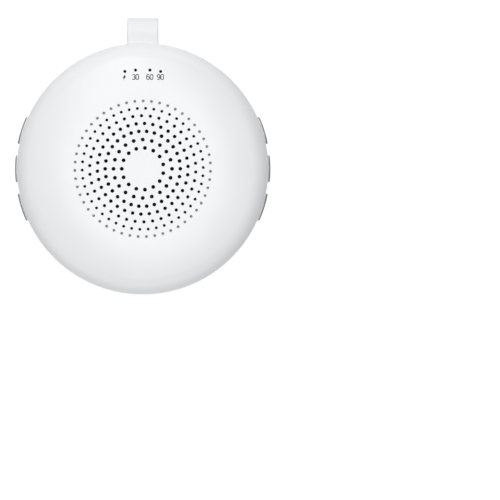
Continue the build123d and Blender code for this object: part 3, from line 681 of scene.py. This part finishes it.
def make_screw_heads():
    """The closing screws again, with a cross recess cut in each head."""
    cutter, blank = cross_cutter(), screw_blank()
    recess = blank.modifiers.new("recess", "BOOLEAN")
    recess.operation = "DIFFERENCE"
    recess.solver = "EXACT"
    recess.object = cutter
    graph = bpy.context.evaluated_depsgraph_get()
    data = bpy.data.meshes.new_from_object(blank.evaluated_get(graph))
    for helper in (cutter, blank):
        bpy.data.objects.remove(helper)
    data.attributes.remove(data.attributes["custom_normal"])
    data.shade_smooth()
    data.set_sharp_from_angle(angle=SHARP_ANGLE)
    steel = SLOT_MATERIALS["screw_steel"]
    new_piece("screws_closing", data, steel, "housing", "screw_steel", ["shell_screws"])


# ---------------------------------------------------------------- speaker surround
CONE_RADIUS = 19.0 * MM
ROLL_MIDDLE = 21.6 * MM
ROLL_HALF_WIDTH = 2.3 * MM
ROLL_HEIGHT = 1.6 * MM
RUBBER_THICKNESS = 0.35 * MM
LIP_WIDTH = 0.75 * MM
ROLL_STEPS = 14


def make_surround():
    """Half-roll of rubber on the speaker's frame, and the lip glued round the cone's edge."""
    low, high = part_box("speaker_surround")
    half = RUBBER_THICKNESS / 2
    land = math.asin(RUBBER_THICKNESS / ROLL_HEIGHT)
    outside = [math.pi + (land - math.pi) * i / ROLL_STEPS for i in range(ROLL_STEPS + 1)]
    inside = [math.pi * i / ROLL_STEPS for i in range(ROLL_STEPS + 1)]
    profile = [
        (ROLL_MIDDLE + (ROLL_HALF_WIDTH + half) * math.cos(a), low.z + ROLL_HEIGHT * math.sin(a))
        for a in outside
    ]
    profile += [(high.x, low.z + RUBBER_THICKNESS), (high.x, low.z)]
    profile += [
        (
            ROLL_MIDDLE + (ROLL_HALF_WIDTH - half) * math.cos(a),
            low.z + (ROLL_HEIGHT - RUBBER_THICKNESS) * math.sin(a),
        )
        for a in inside
    ]
    material = SLOT_MATERIALS["surround_rubber"]
    piece_from(
        turned_ring(profile),
        "surround_roll",
        material,
        slot="surround_rubber",
        replaced=["speaker_surround"],
    )
    lip = (
        (CONE_RADIUS - LIP_WIDTH, low.z),
        (CONE_RADIUS, low.z),
        (CONE_RADIUS, low.z + half),
        (CONE_RADIUS - half, low.z + RUBBER_THICKNESS),
        (CONE_RADIUS - LIP_WIDTH + half, low.z + RUBBER_THICKNESS),
        (CONE_RADIUS - LIP_WIDTH, low.z + half),
    )
    piece_from(turned_ring(lip), "surround_lip", material, "cone", slot="surround_rubber")


# ---------------------------------------------------------------- charging socket
TONGUE_WIDTH = 6.69 * MM
TONGUE_THICKNESS = 0.7 * MM
TONGUE_LENGTH = 4.9 * MM
TONGUE_START = 6.2 * MM  # behind the socket's mouth
TONGUE_SKIN = 0.02 * MM
TONGUE_EDGE = 0.08 * MM
CONTACT_COUNT = 12
CONTACT_PITCH = 0.5 * MM
CONTACT_WIDTH = 0.26 * MM
CONTACT_START = 0.5 * MM  # behind the tongue's tip
CONTACT_LENGTH = 3.4 * MM
CONTACT_HEIGHT = 0.03 * MM


def add_block(mesh, low, high):
    """Box between two corners."""
    middle = [(a + b) / 2 for a, b in zip(low, high)]
    size = [b - a for a, b in zip(low, high)]
    place = Matrix.Translation(middle) @ Matrix.Diagonal((*size, 1))
    bmesh.ops.create_cube(mesh, size=1, matrix=place)


def make_socket_details():
    """Black moulding over the socket's tongue, and rows of gold contacts on both of its faces."""
    low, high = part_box("usb_socket")
    middle_z = (low.z + high.z) / 2
    root_y = low.y + TONGUE_START
    tip_y = root_y - TONGUE_LENGTH
    half_width = TONGUE_WIDTH / 2 + TONGUE_SKIN
    face = TONGUE_THICKNESS / 2 + TONGUE_SKIN
    moulding = bmesh.new()
    add_block(
        moulding,
        (-half_width, tip_y - TONGUE_SKIN, middle_z - face),
        (half_width, root_y, middle_z + face),
    )
    bmesh.ops.bevel(
        moulding, geom=moulding.edges, offset=TONGUE_EDGE, segments=2, affect="EDGES"
    )
    piece_from(moulding, "socket_tongue", SLOT_MATERIALS["switch_plastic"])
    contacts = bmesh.new()
    near_y = tip_y + CONTACT_START
    for number in range(CONTACT_COUNT):
        x = (number - (CONTACT_COUNT - 1) / 2) * CONTACT_PITCH
        for side in (-1, 1):
            under = middle_z + side * (face - TONGUE_SKIN)
            top = middle_z + side * (face + CONTACT_HEIGHT)
            add_block(
                contacts,
                (x - CONTACT_WIDTH / 2, near_y, min(under, top)),
                (x + CONTACT_WIDTH / 2, near_y + CONTACT_LENGTH, max(under, top)),
            )
    piece_from(contacts, "socket_contacts", metal("gold_contacts", (0.83, 0.62, 0.25), 0.25))


# ---------------------------------------------------------------- stage, lights, camera
FLOOR_SIZE = 30
FLOOR_COLOR = (0.20, 0.20, 0.20)
FLOOR_GLOW = 0.90  # with its own colour, the floor then looks white
FLOOR_GAP = 0.05 * MM  # keeps the floor clear of the foot pad's face


def make_stage():
    """Plain white floor that keeps the machine's shadow."""
    bpy.ops.mesh.primitive_plane_add(size=FLOOR_SIZE, location=(0, 0, -FLOOR_GAP))
    floor = bpy.context.object
    floor.name = "floor"
    material, tree, shader = node_material("floor", FLOOR_COLOR, 0.9)
    shader.inputs["Specular IOR Level"].default_value = 0.0
    path = tree.nodes.new("ShaderNodeLightPath").outputs
    seen = math_node(tree, "MAXIMUM", path["Is Camera Ray"], path["Is Glossy Ray"])
    seen = math_node(tree, "MAXIMUM", seen, path["Is Transmission Ray"])
    glow = tree.nodes.new("ShaderNodeEmission")
    glow.inputs["Color"].default_value = (1, 1, 1, 1)
    tree.links.new(math_node(tree, "MULTIPLY", seen, FLOOR_GLOW), glow.inputs["Strength"])
    both = tree.nodes.new("ShaderNodeAddShader")
    tree.links.new(shader.outputs["BSDF"], both.inputs[0])
    tree.links.new(glow.outputs["Emission"], both.inputs[1])
    tree.links.new(both.outputs["Shader"], tree.nodes["Material Output"].inputs["Surface"])
    floor.data.materials.append(material)


def area_light(name, place, aim, size, power):
    """Soft box at a place, turned to a point."""
    lamp = bpy.data.lights.new(name, "AREA")
    lamp.shape = "RECTANGLE"
    lamp.size, lamp.size_y = size
    lamp.energy = power
    holder = bpy.data.objects.new(name, lamp)
    bpy.context.scene.collection.objects.link(holder)
    holder.location = place
    holder.rotation_euler = (Vector(aim) - Vector(place)).to_track_quat("-Z", "Y").to_euler()


# The tent, by the direction looked in: where along an axis its light changes, and between what
TENT_COLOR = (0.985, 0.99, 1.0)
ENDS = ((0.25, 0.85), (0.40, 1.65))  # along Y, both ways: dim sides, bright ends
ROOF = ((0.65, 0.9), (1, 0))  # along Z: dark behind the soft box
FOOT = ((0.0, 0.25), (0.45, 1))  # along Z: dimmer near the floor
FAR_END = ((0.3, 0.8), (0, 1.05))  # along Y: the end at the hanger loop is lit down to the floor
RIGHT_SIDE = ((0.2, 0.9), (1, 0.6))  # along X: dimmer
UNDER_FLOOR = ((-0.3, 0.0), (0.9, 0))  # along Z: light from below

# The soft box, in metres and watts
KEY_PLACE = (-0.06, 0.30, 1.20)
KEY_AIM = (0, 0.05, 0.03)
KEY_SIZE = (0.24, 1.30)
KEY_POWER = 7.0


def make_lights():
    """A long soft box overhead, in a white tent."""
    area_light("key", KEY_PLACE, KEY_AIM, KEY_SIZE, KEY_POWER)
    world = bpy.data.worlds.new("room")
    bpy.context.scene.world = world
    world.use_nodes = True
    tree = world.node_tree
    place = tree.nodes.new("ShaderNodeTexCoord")
    axes = tree.nodes.new("ShaderNodeSeparateXYZ")
    tree.links.new(place.outputs["Generated"], axes.inputs["Vector"])
    x, y, z = axes.outputs
    walls = map_range(tree, math_node(tree, "ABSOLUTE", y), *ENDS)
    low_light = math_node(tree, "MAXIMUM", map_range(tree, z, *FOOT), map_range(tree, y, *FAR_END))
    for factor in (low_light, map_range(tree, x, *RIGHT_SIDE), map_range(tree, z, *ROOF)):
        walls = math_node(tree, "MULTIPLY", walls, factor)
    under_floor = map_range(tree, z, *UNDER_FLOOR)
    room = tree.nodes["Background"]
    room.inputs["Color"].default_value = (*TENT_COLOR, 1)
    tree.links.new(math_node(tree, "MAXIMUM", walls, under_floor), room.inputs["Strength"])


# The photograph's frame: its side and the machine's centre in pixels, and the size of a pixel
PHOTO_SIDE = 500
MACHINE_PIXEL = (142.75, 168.8)
PIXEL_SIZE = 0.4064 * MM
CAMERA_HEIGHT = 5.0
CAMERA_REACH = 20
SENSOR_WIDTH = 36  # Blender's own unit for it, millimetres
SEEN_Z = 26 * MM  # height at which the rim's outline is seen


def make_camera():
    """Long lens on the machine's axis, turned so that the machine falls at its place."""
    data = bpy.data.cameras.new("camera")
    camera = bpy.data.objects.new("camera", data)
    bpy.context.scene.collection.objects.link(camera)
    aim_x = (PHOTO_SIDE / 2 - MACHINE_PIXEL[0]) * PIXEL_SIZE
    aim_y = (MACHINE_PIXEL[1] - PHOTO_SIDE / 2) * PIXEL_SIZE
    depth = CAMERA_HEIGHT - SEEN_Z
    camera.location = (0, 0, CAMERA_HEIGHT)
    toward = Vector((aim_x, aim_y, -depth))
    right = toward.cross((0, 1, 0)).normalized()
    up = right.cross(toward).normalized()
    camera.rotation_euler = Matrix((right, up, -toward.normalized())).transposed().to_euler()
    data.sensor_width = SENSOR_WIDTH
    data.lens = SENSOR_WIDTH * toward.length / (PHOTO_SIDE * PIXEL_SIZE)
    data.clip_end = CAMERA_REACH
    bpy.context.scene.camera = camera


bpy.context.scene.view_settings.view_transform = "Standard"
make_camera()
dress_cad_nodes()
make_front_shell()
make_print()
make_screw_heads()
make_surround()
make_socket_details()
make_stage()
make_lights()
